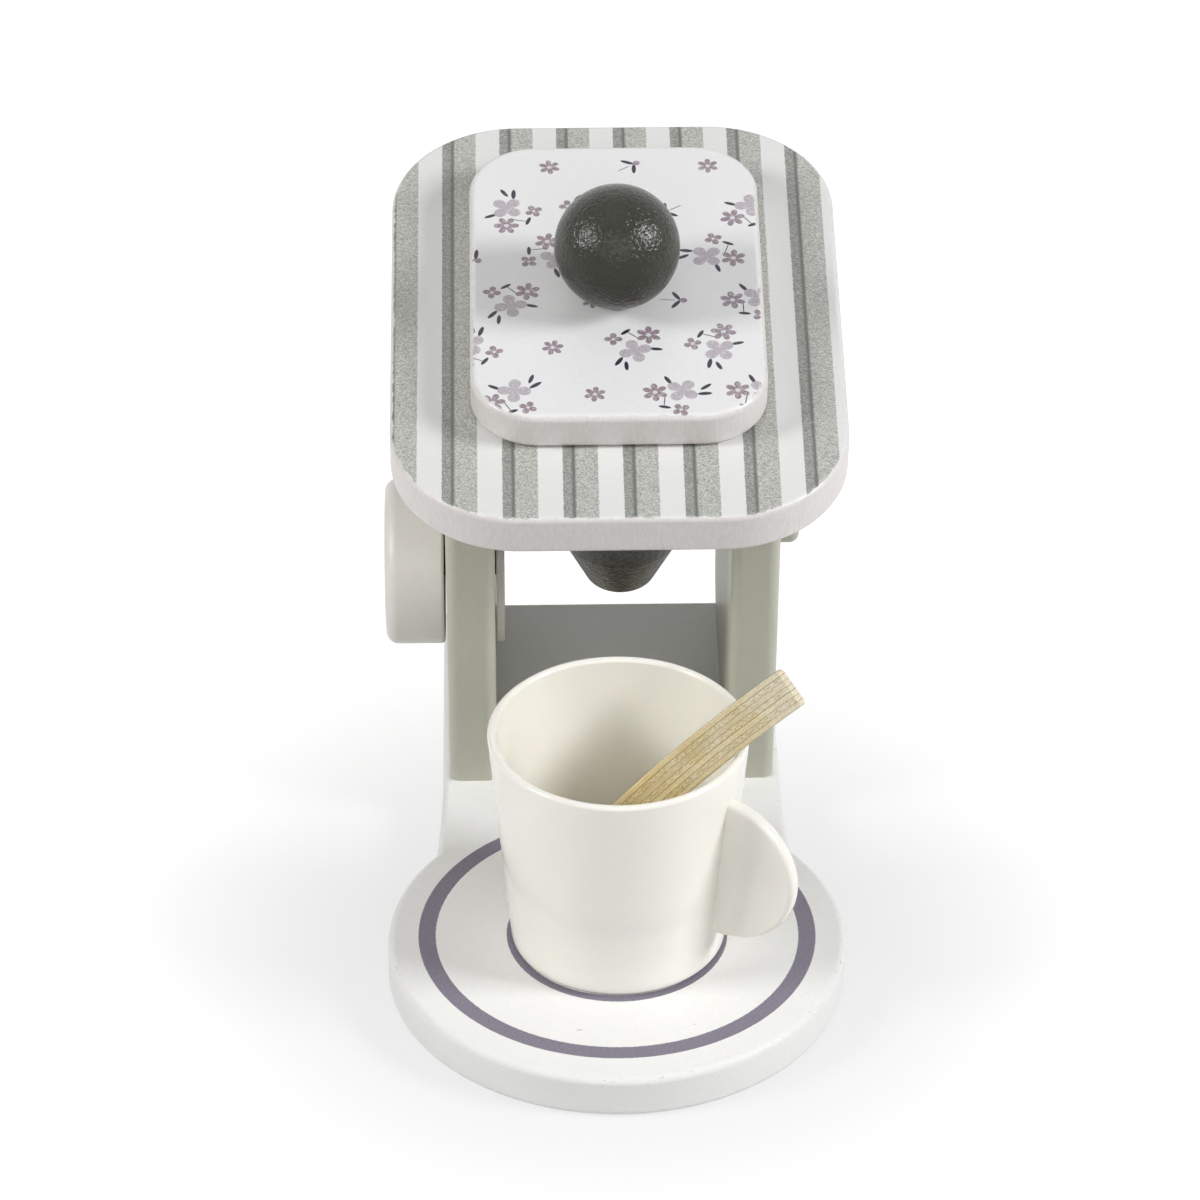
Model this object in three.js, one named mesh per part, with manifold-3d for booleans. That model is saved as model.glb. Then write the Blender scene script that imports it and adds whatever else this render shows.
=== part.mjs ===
// Wooden toy coffee machine. A keyhole-shaped base board carries two leaning uprights, and these
// carry a head board square to them, with a lid on top and a turned filter cone underneath.
// A dial turns on the left upright, a fixed button sits on the right one, and a plastic cup with
// a plywood stirrer stands on the round plate of the base.
// Millimetres. The origin is on the ground under the centre of the round plate.
// +X is to the right, +Y to the back, +Z up.

import * as THREE from 'three';
import { mergeVertices } from 'three/addons/utils/BufferGeometryUtils.js';
import Module from 'manifold-3d';

const wasm = await Module();
wasm.setup();

// Clearances
const gap = 0.3; // between pieces that are glued, pinned, or turn on each other
const plugPlay = 0.5; // around the lid's plug
const overrun = 1; // how far a cutter runs past the face that it opens
const boardSkin = 3.6; // wood left over a blind hole in the head board and the lid

// Facets
const chordError = 0.08; // how far a flat facet lies inside the true arc
const easeSteps = 3;

// Base board
const baseThick = 12;
const plateRadius = 60;
const neckRootShare = 0.79; // of the plate's radius, where the neck leaves the plate
const neckMargin = 1.9; // neck beside the uprights
const neckFlareLength = 38;
const baseReach = 154.5; // plate centre to the rear end
const baseCorner = 5;
const baseEase = 2;

// Uprights: they lean forward, and the head board stands square to them
const lean = THREE.MathUtils.degToRad(10.1);
const uprightFront = 68.9; // where the front faces meet the base, behind the plate's centre
const uprightThick = 12.8;
const uprightSpread = 87.8; // over the outer faces
const uprightDepth = 90; // square to the lean
const uprightHeight = 144; // along the front face, to the head board
const uprightHeel = 18; // radius of the lower rear corner
const uprightEase = 3;

// Head board
const headOverhang = 13.4; // beside each upright
const headShift = 0.7; // to the right of the uprights' middle, with all that it carries
const headLength = 150.5;
const headThick = 11.5;
const headCorner = 32.5;
const headEase = 1.5;

// Lid
const lidWidth = 74.3;
const lidLength = 104.4;
const lidThick = 10.2;
const lidCorner = 17;
const lidEase = 1.8;
const lidSetback = 2.3; // lid's centre behind the middle of the head board
const plugRadius = 20;
const plugHeight = 6.5;
const plugEase = 0.8;

// Lid knob
const knobRadius = 15.8;
const knobRise = 16.3; // ball's centre above its foot
const knobFootRadius = 5.6;
const knobForward = 7.1; // ball in front of the lid's centre
const knobDowelRadius = 3;
const knobDowelUp = 11;

// Filter cone
const coneSetback = 18.5; // axis behind the head board's front edge
const coneTopRadius = 15.4;
const coneBarrel = 8; // straight part under the head board
const coneLength = 23.1;
const coneTipRadius = 9.1;
const coneTipRound = 1;
const coneEase = 1;
const coneDowelRadius = 4;
const coneDowelDown = 11;

// Dial with its axle and retaining disc, on the left upright
const dialRise = 40; // axis above the base, along the lean
const dialRadius = 22.5;
const dialThick = 16;
const dialStandOff = 0.9; // running gap to the upright
const dialRound = 3.4;
const dialEase = 1;
const retainerRadius = 22.3;
const retainerThick = 2.3;
const retainerEase = 0.5;
const axleRadius = 4;
const axleInDial = 10;

// Side button, glued on the right upright
const buttonRise = 58;
const buttonRadius = 9;
const buttonThick = 7;
const buttonRound = 2.6;
const buttonDowelRadius = 3;
const buttonDowelIn = 8;
const buttonDowelOut = 4;

// Dowels between the uprights and the head board
const dowelRadius = 4;
const dowelInUpright = 16;
const dowelShares = [0.22, 0.78]; // of the upright's depth
const dowelEase = 0.6;

// Screws up through the base board into the uprights
const screwHeadRadius = 3.8;
const screwHeadDepth = 2.6;
const screwSink = 0.8; // head above the underside
const screwShankRadius = 2;
const screwLength = 36;
const screwPoint = 5;
const screwShares = [0.23, 0.77]; // of the upright's seat on the base
const driveWidth = 1;
const driveSpan = 4.4;
const driveDepth = 1.6;

// Cup
const cupX = 0.3; // where it stands, from the plate's centre
const cupY = 1.8;
const cupHeight = 64.8;
const cupRimRadius = 33.6;
const cupBaseRadius = 28;
const cupWall = 2.2;
const cupFloor = 3;
const cupHeel = 1.4;
const finRadius = 21.4;
const finThick = 4;
const finRise = 32.8; // fin's centre above the cup's underside
const finSink = 0.4; // fin's centre inside the cup's outer wall
const finTurn = THREE.MathUtils.degToRad(-30);
const finEase = 1.4;

// Stirrer: a flat, gently curved stick that stands on its narrow edge and leans in the cup
const stirrerLength = 104.8;
const stirrerBreadth = 10.8;
const stirrerThick = 2.8;
const stirrerFootSlope = THREE.MathUtils.degToRad(58);
const stirrerEndSlope = THREE.MathUtils.degToRad(47.5);
const stirrerTurn = THREE.MathUtils.degToRad(-29.5);
const stirrerTip = THREE.MathUtils.degToRad(11.9); // its flat side leans back
const stirrerForward = 9.4; // its foot in front of the cup's axis
const stirrerRound = 1.2;
const stirrerEase = 0.6;
const stirrerSteps = 10;

// Finishes
const finishes = {
  whitePaint: { color: 0xe9e9e6, roughness: 0.45, metalness: 0 },
  sagePaint: { color: 0xa9ab9a, roughness: 0.5, metalness: 0 },
  stripePrint: { color: 0xc4c9c0, roughness: 0.5, metalness: 0 },
  darkPaint: { color: 0x4b4b42, roughness: 0.35, metalness: 0 },
  ivoryPlastic: { color: 0xe9e6dc, roughness: 0.3, metalness: 0 },
  bareWood: { color: 0xc9b280, roughness: 0.65, metalness: 0 },
  plywood: { color: 0xd0b98a, roughness: 0.65, metalness: 0 },
  zincSteel: { color: 0x9a9a98, roughness: 0.4, metalness: 1 },
};

// Outlines

function arcPoints(cx, cy, radius, start, end, steps) {
  const points = [];
  for (let i = 0; i <= steps; i += 1) {
    const angle = start + ((end - start) * i) / steps;
    points.push(new THREE.Vector2(cx + radius * Math.cos(angle), cy + radius * Math.sin(angle)));
  }
  return points;
}

// Facets that an arc needs, so that a large radius gets finer ones
function stepsFor(radius, angle) {
  return Math.max(easeSteps, Math.ceil(angle / (2 * Math.acos(1 - chordError / radius))));
}

// A counterclockwise polygon of corners [x, y, radius], with the convex corners rounded
function roundedOutline(corners) {
  return corners.flatMap(([x, y, radius], i) => {
    const corner = new THREE.Vector2(x, y);
    if (radius === 0) {
      return [corner];
    }
    const [beforeX, beforeY] = corners[(i + corners.length - 1) % corners.length];
    const [afterX, afterY] = corners[(i + 1) % corners.length];
    const back = new THREE.Vector2(beforeX, beforeY).sub(corner).normalize();
    const ahead = new THREE.Vector2(afterX, afterY).sub(corner).normalize();
    const half = Math.acos(back.dot(ahead)) / 2;
    const centre = back.clone().add(ahead).setLength(radius / Math.sin(half)).add(corner);
    const start = Math.atan2(back.x, -back.y);
    const turn = Math.PI - 2 * half;
    return arcPoints(centre.x, centre.y, radius, start, start + turn, stepsFor(radius, turn));
  });
}

function roundedBoard(width, length, corner) {
  const x = width / 2;
  const y = length / 2;
  return roundedOutline([[-x, -y, corner], [x, -y, corner], [x, y, corner], [-x, y, corner]]);
}

// Solids

// A board of the given outline, lying on the plane z = 0, with its edges eased
function slab(outline, thick, ease) {
  const geometry = new THREE.ExtrudeGeometry(new THREE.Shape(outline), {
    depth: thick - 2 * ease,
    steps: 1,
    bevelEnabled: true,
    bevelThickness: ease,
    bevelSize: ease,
    bevelOffset: -ease,
    bevelSegments: easeSteps,
  });
  return geometry.translate(0, 0, ease);
}

// A turned piece about z, from a profile of [radius, height] points
function turned(profile) {
  const points = profile.map(([radius, height]) => new THREE.Vector2(radius, height));
  const sides = stepsFor(Math.max(...points.map((p) => p.x)), 2 * Math.PI);
  return new THREE.LatheGeometry(points, sides).rotateX(Math.PI / 2);
}

// The [radius, height] points of a rounded edge, a quarter turn from the start angle
function roundedEdge(radius, height, round, start) {
  const arc = arcPoints(radius, height, round, start, start + Math.PI / 2, easeSteps);
  return arc.map((p) => [p.x, p.y]);
}

// A plain cylinder between two heights, for holes
function bore(radius, low, high) {
  return turned([[0, low], [radius, low], [radius, high], [0, high]]);
}

// A dowel between two heights, with its ends chamfered
function dowel(radius, low, high) {
  return turned([
    [0, low],
    [radius - dowelEase, low],
    [radius, low + dowelEase],
    [radius, high - dowelEase],
    [radius - dowelEase, high],
    [0, high],
  ]);
}

// Turned work whose axis lies along x, pointing left or right
function aimed(geometry, side) {
  return geometry.rotateY((side * Math.PI) / 2);
}

function toSolid(geometry) {
  const bare = geometry.clone();
  bare.deleteAttribute('normal');
  bare.deleteAttribute('uv');
  const merged = mergeVertices(bare);
  return new wasm.Manifold(new wasm.Mesh({
    numProp: 3,
    vertProperties: new Float32Array(merged.attributes.position.array),
    triVerts: new Uint32Array(merged.index.array),
  }));
}

function toGeometry(solid) {
  const mesh = solid.getMesh();
  const geometry = new THREE.BufferGeometry();
  geometry.setAttribute('position', new THREE.BufferAttribute(mesh.vertProperties, 3));
  geometry.setIndex(new THREE.BufferAttribute(mesh.triVerts, 1));
  geometry.computeVertexNormals();
  return geometry;
}

function cut(body, cutters) {
  let solid = toSolid(body);
  for (const cutter of cutters) {
    solid = solid.subtract(toSolid(cutter));
  }
  return toGeometry(solid);
}

// Scene graph

const machine = new THREE.Group();

// The leaning frame: y runs back along the head board, z up along the uprights
const leaning = new THREE.Group();
leaning.position.set(0, uprightFront, baseThick);
leaning.rotation.x = lean;
leaning.updateMatrix();
machine.add(leaning);

function leant(geometry) {
  return geometry.applyMatrix4(leaning.matrix);
}

function place(name, geometry, finish, parent, x, y, z) {
  const mesh = new THREE.Mesh(geometry, new THREE.MeshStandardMaterial(finishes[finish]));
  mesh.name = name;
  mesh.position.set(x, y, z);
  parent.add(mesh);
}

// Places that several pieces share

const uprightOuter = uprightSpread / 2;
const uprightInner = uprightOuter - uprightThick;
const uprightMiddle = uprightOuter - uprightThick / 2;
const uprightRear = uprightFront + uprightDepth / Math.cos(lean);
const seatLength = uprightRear - uprightHeel * Math.tan(Math.PI / 4 + lean / 2) - uprightFront;
const headBottom = uprightHeight + gap;
const headTop = headBottom + headThick;
const headMiddle = uprightDepth - headLength / 2;
const lidMiddle = headMiddle + lidSetback;
const lidBottom = headTop + gap;
const lidTop = lidBottom + lidThick;
const plugBottom = headTop - plugHeight;
const knobPlace = lidMiddle - knobForward;
const conePlace = uprightDepth - headLength + coneSetback;
const axisPlace = uprightDepth / 2;
const dowelPlaces = dowelShares.map((share) => share * uprightDepth);
const screwPlaces = screwShares.map((share) => uprightFront + share * seatLength);
const left = -1;
const right = 1;
const sides = [['left', left], ['right', right]];
const ends = ['front', 'rear'];

// Screws: the hole is the screw's own profile made wider

function screwShape(extra) {
  return turned([
    [0, -extra],
    [screwHeadRadius + extra, -extra],
    [screwShankRadius + extra, screwHeadDepth],
    [screwShankRadius + extra, screwLength - screwPoint + extra],
    [0, screwLength + extra],
  ]);
}

function screwHole(x, y) {
  return screwShape(gap).translate(x, y, screwSink);
}

function screw() {
  const across = new THREE.BoxGeometry(driveSpan, driveWidth, driveDepth * 2);
  const along = new THREE.BoxGeometry(driveWidth, driveSpan, driveDepth * 2);
  return cut(screwShape(0), [across, along]);
}

// Base board

function baseOutline() {
  const rootX = neckRootShare * plateRadius;
  const rootY = Math.sqrt(plateRadius ** 2 - rootX ** 2);
  const root = Math.atan2(rootY, rootX);
  const neckX = uprightOuter + neckMargin;
  const flare = new THREE.QuadraticBezierCurve(
    new THREE.Vector2(rootX, rootY),
    new THREE.Vector2(neckX, rootY + neckFlareLength / 2),
    new THREE.Vector2(neckX, rootY + neckFlareLength),
  );
  const rightSide = flare.getPoints(easeSteps * 2).slice(1);
  const leftSide = rightSide.map((p) => new THREE.Vector2(-p.x, p.y)).reverse();
  const rear = roundedOutline([
    [-neckX, 0, 0],
    [neckX, 0, 0],
    [neckX, baseReach, baseCorner],
    [-neckX, baseReach, baseCorner],
  ]).slice(2);
  const start = -Math.PI - root;
  const plate = arcPoints(0, 0, plateRadius, start, root, stepsFor(plateRadius, root - start));
  return [...plate, ...rightSide, ...rear, ...leftSide];
}

const baseHoles = [];
for (const [, sign] of sides) {
  for (const y of screwPlaces) {
    const x = sign * uprightMiddle;
    baseHoles.push(screwHole(x, y));
    baseHoles.push(bore(screwHeadRadius + gap, -overrun, screwSink).translate(x, y, 0));
  }
}
place('base_board', cut(slab(baseOutline(), baseThick, baseEase), baseHoles), 'whitePaint', machine, 0, 0, 0);

// Uprights: the outline runs past both ends, and the ends are then cut square

function uprightBlank() {
  const sunk = baseThick - uprightEase;
  const slip = uprightEase * Math.tan(lean);
  const rise = uprightHeight + uprightEase;
  const topY = uprightFront - rise * Math.sin(lean);
  const topZ = baseThick + rise * Math.cos(lean);
  const outline = roundedOutline([
    [uprightFront + slip, sunk, 0],
    [uprightRear + slip, sunk, uprightHeel],
    [topY + uprightDepth * Math.cos(lean), topZ + uprightDepth * Math.sin(lean), 0],
    [topY, topZ, 0],
  ]);
  const axes = new THREE.Matrix4().makeBasis(
    new THREE.Vector3(0, 1, 0),
    new THREE.Vector3(0, 0, 1),
    new THREE.Vector3(1, 0, 0),
  );
  const board = slab(outline, uprightThick, uprightEase).translate(0, 0, -uprightThick / 2);
  return board.applyMatrix4(axes);
}

function endCutter(middle) {
  const wide = uprightThick + 2 * overrun;
  return new THREE.BoxGeometry(wide, uprightDepth * 2, uprightEase * 2).translate(0, 0, middle);
}

for (const [side, sign] of sides) {
  const x = sign * uprightMiddle;
  const cutters = [
    endCutter(baseThick - uprightEase).translate(x, (uprightFront + uprightRear) / 2, 0),
    leant(endCutter(uprightHeight + uprightEase).translate(x, axisPlace, 0)),
  ];
  for (const y of dowelPlaces) {
    const floor = uprightHeight - dowelInUpright - gap;
    cutters.push(leant(bore(dowelRadius + gap, floor, uprightHeight + overrun).translate(x, y, 0)));
  }
  for (const y of screwPlaces) {
    cutters.push(screwHole(x, y));
  }
  if (sign === left) {
    const hole = bore(axleRadius + gap, uprightInner - overrun, uprightOuter + overrun);
    cutters.push(leant(aimed(hole, sign).translate(0, axisPlace, dialRise)));
  } else {
    const floor = uprightOuter - buttonDowelIn - gap;
    const hole = bore(buttonDowelRadius + gap, floor, uprightOuter + overrun);
    cutters.push(leant(aimed(hole, sign).translate(0, axisPlace, buttonRise)));
  }
  const board = uprightBlank().translate(x, 0, 0);
  place(`${side}_upright`, cut(board, cutters), 'sagePaint', machine, 0, 0, 0);
  ends.forEach((end, i) => {
    place(`base_screw_${side}_${end}`, screw(), 'zincSteel', machine, x, screwPlaces[i], screwSink);
    const pin = dowel(dowelRadius, uprightHeight - dowelInUpright, headTop - boardSkin);
    place(`head_dowel_${side}_${end}`, pin, 'bareWood', leaning, x, dowelPlaces[i], 0);
  });
}

// Head board, with holes for the dowels, a pocket for the lid's plug and a hole for the cone

const headWidth = uprightSpread + 2 * headOverhang;
const headBlank = slab(roundedBoard(headWidth, headLength, headCorner), headThick, headEase);
headBlank.translate(headShift, headMiddle, headBottom);
const blindTop = headTop - boardSkin + gap;
const headHoles = [
  bore(coneDowelRadius + gap, headBottom - overrun, blindTop).translate(headShift, conePlace, 0),
  bore(plugRadius + plugPlay, plugBottom - gap, headTop + overrun).translate(headShift, lidMiddle, 0),
];
for (const [, sign] of sides) {
  for (const y of dowelPlaces) {
    const hole = bore(dowelRadius + gap, headBottom - overrun, blindTop);
    headHoles.push(hole.translate(sign * uprightMiddle, y, 0));
  }
}
place('head_board', cut(headBlank, headHoles), 'stripePrint', leaning, 0, 0, 0);

// Lid, its plug, and the ball knob on its dowel

const lidHole = bore(knobDowelRadius + gap, boardSkin - gap, lidThick + overrun);
lidHole.translate(0, -knobForward, 0);
const lidBlank = slab(roundedBoard(lidWidth, lidLength, lidCorner), lidThick, lidEase);
place('lid_board', cut(lidBlank, [lidHole]), 'whitePaint', leaning, headShift, lidMiddle, lidBottom);

const plug = turned([
  [0, 0],
  [plugRadius - plugEase, 0],
  [plugRadius, plugEase],
  [plugRadius, plugHeight],
  [0, plugHeight],
]);
place('lid_plug', plug, 'bareWood', leaning, headShift, lidMiddle, plugBottom);

function knob() {
  const hole = knobDowelRadius + gap;
  const depth = knobDowelUp + gap;
  const start = Math.asin(knobFootRadius / knobRadius) - Math.PI / 2;
  const steps = stepsFor(knobRadius, Math.PI / 2 - start);
  const ball = arcPoints(0, knobRise, knobRadius, start, Math.PI / 2, steps);
  const outside = ball.slice(0, -1).map((p) => [p.x, p.y]);
  const crown = [0, knobRise + knobRadius];
  return turned([[0, depth], [hole, depth], [hole, 0], [knobFootRadius, 0], ...outside, crown]);
}
const knobBottom = lidTop + gap;
place('lid_knob', knob(), 'darkPaint', leaning, headShift, knobPlace, knobBottom);
const knobDowel = dowel(knobDowelRadius, lidBottom + boardSkin, knobBottom + knobDowelUp);
place('knob_dowel', knobDowel, 'bareWood', leaning, headShift, knobPlace, 0);

// Filter cone and its dowel, hanging from the head board

function cone() {
  const hole = coneDowelRadius + gap;
  const ceiling = -coneDowelDown - gap;
  const tipTurn = Math.atan2(coneTopRadius - coneTipRadius, coneLength - coneBarrel);
  const tipX = coneTipRadius - coneTipRound;
  const tip = arcPoints(tipX, coneTipRound - coneLength, coneTipRound, -Math.PI / 2, -tipTurn, easeSteps);
  return turned([
    [0, -coneLength],
    ...tip.map((p) => [p.x, p.y]),
    [coneTopRadius, -coneBarrel],
    [coneTopRadius, -coneEase],
    [coneTopRadius - coneEase, 0],
    [hole, 0],
    [hole, ceiling],
    [0, ceiling],
  ]);
}
const coneTop = headBottom - gap;
place('filter_cone', cone(), 'darkPaint', leaning, headShift, conePlace, coneTop);
const conePin = dowel(coneDowelRadius, coneTop - coneDowelDown, headTop - boardSkin);
place('cone_dowel', conePin, 'bareWood', leaning, headShift, conePlace, 0);

// A turned disc with a blind hole in its back and a rounded front edge

function knobDisc(radius, thick, round, holeRadius, holeDepth) {
  return turned([
    [0, holeDepth],
    [holeRadius, holeDepth],
    [holeRadius, 0],
    ...roundedEdge(radius - dialEase, dialEase, dialEase, -Math.PI / 2),
    ...roundedEdge(radius - round, thick - round, round, 0),
    [0, thick],
  ]);
}

// Dial, retaining disc and axle

const dialInner = uprightOuter + dialStandOff;
const dial = knobDisc(dialRadius, dialThick, dialRound, axleRadius + gap, axleInDial + gap);
place('dial_disc', aimed(dial, left), 'whitePaint', leaning, -dialInner, axisPlace, dialRise);

const retainerBack = uprightInner - gap - retainerThick;
const retainerRim = retainerRadius - retainerEase;
const retainer = turned([
  [axleRadius + gap, 0],
  [retainerRim, 0],
  [retainerRadius, retainerEase],
  [retainerRadius, retainerThick - retainerEase],
  [retainerRim, retainerThick],
  [axleRadius + gap, retainerThick],
  [axleRadius + gap, 0],
]);
place('dial_retainer', aimed(retainer, left), 'whitePaint', leaning, -retainerBack, axisPlace, dialRise);

const axle = dowel(axleRadius, retainerBack, dialInner + axleInDial);
place('dial_axle', aimed(axle, left), 'bareWood', leaning, 0, axisPlace, dialRise);

// Side button and its dowel

const buttonInner = uprightOuter + gap;
const pinHole = buttonDowelRadius + gap;
const button = knobDisc(buttonRadius, buttonThick, buttonRound, pinHole, buttonDowelOut + gap);
place('side_button', aimed(button, right), 'sagePaint', leaning, buttonInner, axisPlace, buttonRise);
const buttonPin = dowel(buttonDowelRadius, uprightOuter - buttonDowelIn, buttonInner + buttonDowelOut);
place('button_dowel', aimed(buttonPin, right), 'bareWood', leaning, 0, axisPlace, buttonRise);

// Cup: a tapered pot with a rounded lip, and a half-disc fin for a handle

function cupRadius(height) {
  return cupBaseRadius + ((cupRimRadius - cupBaseRadius) * height) / cupHeight;
}

const lip = cupWall / 2;
const lipX = cupRimRadius - lip;
const lipZ = cupHeight - lip;

function cup() {
  const lipArc = arcPoints(lipX, lipZ, lip, 0, Math.PI, easeSteps * 2).map((p) => [p.x, p.y]);
  const outside = turned([
    [0, 0],
    ...roundedEdge(cupBaseRadius - cupHeel, cupHeel, cupHeel, -Math.PI / 2),
    ...lipArc,
    [0, lipZ],
  ]);
  const cavity = turned([
    [0, cupFloor],
    [cupRadius(cupFloor) - cupWall - cupHeel, cupFloor],
    [cupRadius(cupFloor + cupHeel) - cupWall, cupFloor + cupHeel],
    [cupRimRadius - cupWall, lipZ],
    [cupRimRadius - cupWall, cupHeight + overrun],
    [0, cupHeight + overrun],
  ]);
  const disc = arcPoints(0, 0, finRadius, 0, 2 * Math.PI, stepsFor(finRadius, 2 * Math.PI)).slice(1);
  const fin = slab(disc, finThick, finEase).translate(0, 0, -finThick / 2).rotateX(Math.PI / 2);
  fin.translate(cupRadius(finRise) - finSink, 0, finRise).rotateZ(finTurn);
  return toGeometry(toSolid(outside).add(toSolid(fin)).subtract(toSolid(cavity)));
}
place('cup', cup(), 'ivoryPlastic', machine, cupX, cupY, baseThick);

// Stirrer: an arc of even breadth, drawn in its own tipped plane. Its lowest corner stands on the
// cup's floor, and its lower edge leans on the inside of the lip.

function stirrer() {
  const radius = stirrerLength / (stirrerFootSlope - stirrerEndSlope);
  const near = radius - stirrerBreadth / 2;
  const far = radius + stirrerBreadth / 2;
  const half = stirrerThick / 2;
  const contacts = [half, -half].map((face) => {
    const off = lipZ * Math.tan(stirrerTip) + face / Math.cos(stirrerTip) - stirrerForward;
    return Math.sqrt(lipX ** 2 - off ** 2);
  });
  const floorY = (cupFloor + gap + half * Math.sin(stirrerTip)) / Math.cos(stirrerTip);
  const centreY = floorY - near * Math.cos(stirrerFootSlope);
  const rise = lipZ / Math.cos(stirrerTip) - centreY;
  const centreX = Math.min(...contacts) + Math.sqrt((near - lip - gap) ** 2 - rise ** 2);
  const lower = [];
  const upper = [];
  for (let i = 0; i <= stirrerSteps; i += 1) {
    const slope = stirrerFootSlope + ((stirrerEndSlope - stirrerFootSlope) * i) / stirrerSteps;
    const round = i === 0 || i === stirrerSteps ? stirrerRound : 0;
    lower.push([centreX - near * Math.sin(slope), centreY + near * Math.cos(slope), round]);
    upper.unshift([centreX - far * Math.sin(slope), centreY + far * Math.cos(slope), round]);
  }
  const stick = slab(roundedOutline([...lower, ...upper]), stirrerThick, stirrerEase);
  stick.translate(0, 0, -half).rotateX(Math.PI / 2 - stirrerTip);
  return stick.translate(0, -stirrerForward, 0).rotateZ(stirrerTurn);
}
place('stirrer', stirrer(), 'plywood', machine, cupX, cupY, baseThick);

export default machine;
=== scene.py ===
import math

import bmesh
import bpy
from mathutils import Matrix, Vector


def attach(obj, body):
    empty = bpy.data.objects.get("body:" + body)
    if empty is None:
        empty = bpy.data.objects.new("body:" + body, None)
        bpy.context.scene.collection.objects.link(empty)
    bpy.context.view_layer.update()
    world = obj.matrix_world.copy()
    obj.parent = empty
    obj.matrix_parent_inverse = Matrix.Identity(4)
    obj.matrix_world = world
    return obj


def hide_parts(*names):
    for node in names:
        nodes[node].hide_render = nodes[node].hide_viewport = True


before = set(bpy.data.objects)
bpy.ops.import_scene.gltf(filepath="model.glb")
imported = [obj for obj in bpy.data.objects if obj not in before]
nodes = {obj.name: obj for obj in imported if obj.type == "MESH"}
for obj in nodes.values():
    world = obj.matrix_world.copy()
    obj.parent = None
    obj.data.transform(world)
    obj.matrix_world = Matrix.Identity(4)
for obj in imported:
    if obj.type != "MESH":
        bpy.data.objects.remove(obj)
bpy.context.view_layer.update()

scene = bpy.context.scene
scene.view_settings.view_transform = "Standard"


# Camera: it stands in front of the toy, a little to the left, and looks down on it
# through a long lens.

lens = bpy.data.cameras.new("long lens")
lens.lens = 169
lens.sensor_width = 36
lens.clip_end = 40
viewpoint = bpy.data.objects.new("viewpoint", lens)
viewpoint.location = (-0.026753, -1.166779, 0.919142)
viewpoint.rotation_euler = (math.radians(90 - 34.453), 0, math.radians(-1.094))
scene.collection.objects.link(viewpoint)
scene.camera = viewpoint


# Light: two soft boxes beside the toy, a broad one in front, and faint ones above and behind, in
# a plain white room that adds only a little light of its own.

room_light = 0.115
sky = bpy.data.worlds.new("white room")
sky.use_nodes = True
scene.world = sky
sky.node_tree.nodes.clear()


def wire(tree, kind, inputs=None, **options):
    """Adds a shader node, sets its options and feeds its sockets with values or other sockets."""
    node = tree.nodes.new("ShaderNode" + kind)
    for option, value in options.items():
        setattr(node, option, value)
    for socket, value in (inputs or {}).items():
        if isinstance(value, bpy.types.NodeSocket):
            tree.links.new(value, node.inputs[socket])
        else:
            node.inputs[socket].default_value = value
    return node


def calc(tree, operation, first, second=0.0, third=0.0, clamp=False):
    """One sum on values or sockets."""
    feeds = {0: first, 1: second, 2: third}
    return wire(tree, "Math", feeds, operation=operation, use_clamp=clamp).outputs[0]


def seen_directly(tree):
    """1 for what the camera sees, straight or in a reflection or through glass."""
    path = wire(tree, "LightPath")
    seen = calc(tree, "MAXIMUM", path.outputs["Is Camera Ray"], path.outputs["Is Glossy Ray"])
    return calc(tree, "MAXIMUM", seen, path.outputs["Is Transmission Ray"])


room = sky.node_tree
lit = wire(room, "Background", {"Color": (1, 0.995, 0.985, 1), "Strength": room_light})
white = wire(room, "Background", {"Color": (1, 1, 1, 1), "Strength": 1.0})
either = wire(room, "MixShader", {0: seen_directly(room), 1: lit.outputs[0], 2: white.outputs[0]})
wire(room, "OutputWorld", {"Surface": either.outputs[0]})


toy_middle = Vector((0, 0.05, 0.1))


def soft_box(name, place, width, height, watts, colour=(1, 1, 1)):
    """A lamp behind a square cloth, turned towards the middle of the toy."""
    light = bpy.data.lights.new(name, "AREA")
    light.shape = "RECTANGLE"
    light.size = width
    light.size_y = height
    light.energy = watts
    light.color = colour
    lamp = bpy.data.objects.new(name, light)
    lamp.location = place
    lamp.rotation_euler = (toy_middle - Vector(place)).to_track_quat("-Z", "Y").to_euler()
    scene.collection.objects.link(lamp)


soft_box("soft box left", place=(-1.35, -0.35, 1.0), width=0.5, height=0.5, watts=14.0,
         colour=(1, 0.995, 0.98))
soft_box("soft box right", place=(1.35, -0.35, 1.0), width=0.5, height=0.5, watts=19.2,
         colour=(0.985, 0.99, 1))
soft_box("broad light in front", place=(0, -1.85, 1.22), width=2, height=1.1, watts=10.9)
soft_box("soft box above", place=(-0.2, 0.12, 1.9), width=0.8, height=0.8, watts=1.6)
soft_box("faint light behind", place=(0, 1.8, 1.0), width=2.2, height=1.2, watts=0.8)


# Floor: a plain white sheet of card that keeps the toy's soft shadow. The camera sees the card
# duller than the light it bounces, and a glow of its own that is weakest near the toy: a painted
# soft shadow round the toy that gives way to a white background further off.

card_half = 9
card_drop = 0.0002
card_grey = 0.65
card_grey_seen = 0.2
glow_in_painted_shadow = 0.665
glow_far_off = 0.96
painted_shadow_middle = 0.015
painted_shadow_near = 0.04
painted_shadow_far = 0.18


def spot_on(tree):
    """Where a spot lies on its piece."""
    return wire(tree, "TexCoord").outputs["Object"]


def how_far(tree, vector):
    """How long the vector is."""
    return wire(tree, "VectorMath", {0: vector}, operation="LENGTH").outputs["Value"]


def times(tree, first, second, clamp=False):
    """The product of two values, and so a mask where both masks are."""
    return calc(tree, "MULTIPLY", first, second, clamp=clamp)


def grey(tree, bright):
    """The grey of that brightness."""
    return wire(tree, "CombineColor", {0: bright, 1: bright, 2: bright}).outputs[0]


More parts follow.
